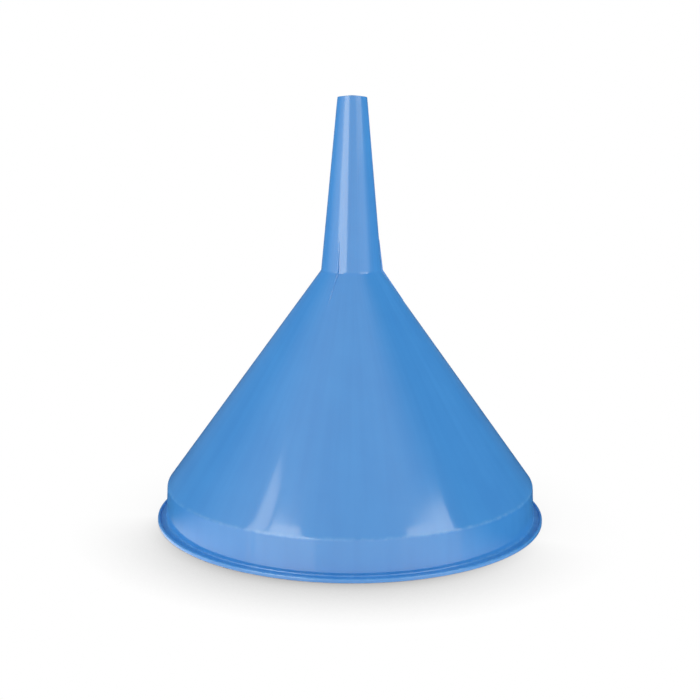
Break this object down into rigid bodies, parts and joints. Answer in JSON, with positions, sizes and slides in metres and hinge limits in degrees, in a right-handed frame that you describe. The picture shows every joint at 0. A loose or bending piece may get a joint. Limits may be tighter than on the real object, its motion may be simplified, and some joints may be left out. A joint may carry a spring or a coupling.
{
  "type": "funnel",
  "caption": "Plain round kitchen funnel standing on its mouth: flanged rim, short collar, steep cone, tapered spout and three low outside vent ribs.",
  "frame": {"origin": "centre of the open mouth, in the plane of the rim's flat underside that the funnel stands on", "axes": "+Z along the funnel's axis, from the mouth to the end of the spout; -Y is the front, and the first vent rib stands about 26 degrees to the left of it"},
  "size_m": [0.2, 0.2, 0.2142],
  "materials": {
    "moulded_plastic": "semi-gloss injection-moulded polypropylene, mid blue"
  },
  "bodies": {
    "root": {"rim": "moulded_plastic", "collar": "moulded_plastic", "cone": "moulded_plastic", "spout": "moulded_plastic", "vent_rib_1": "moulded_plastic", "vent_rib_2": "moulded_plastic", "vent_rib_3": "moulded_plastic"}
  },
  "joints": []
}
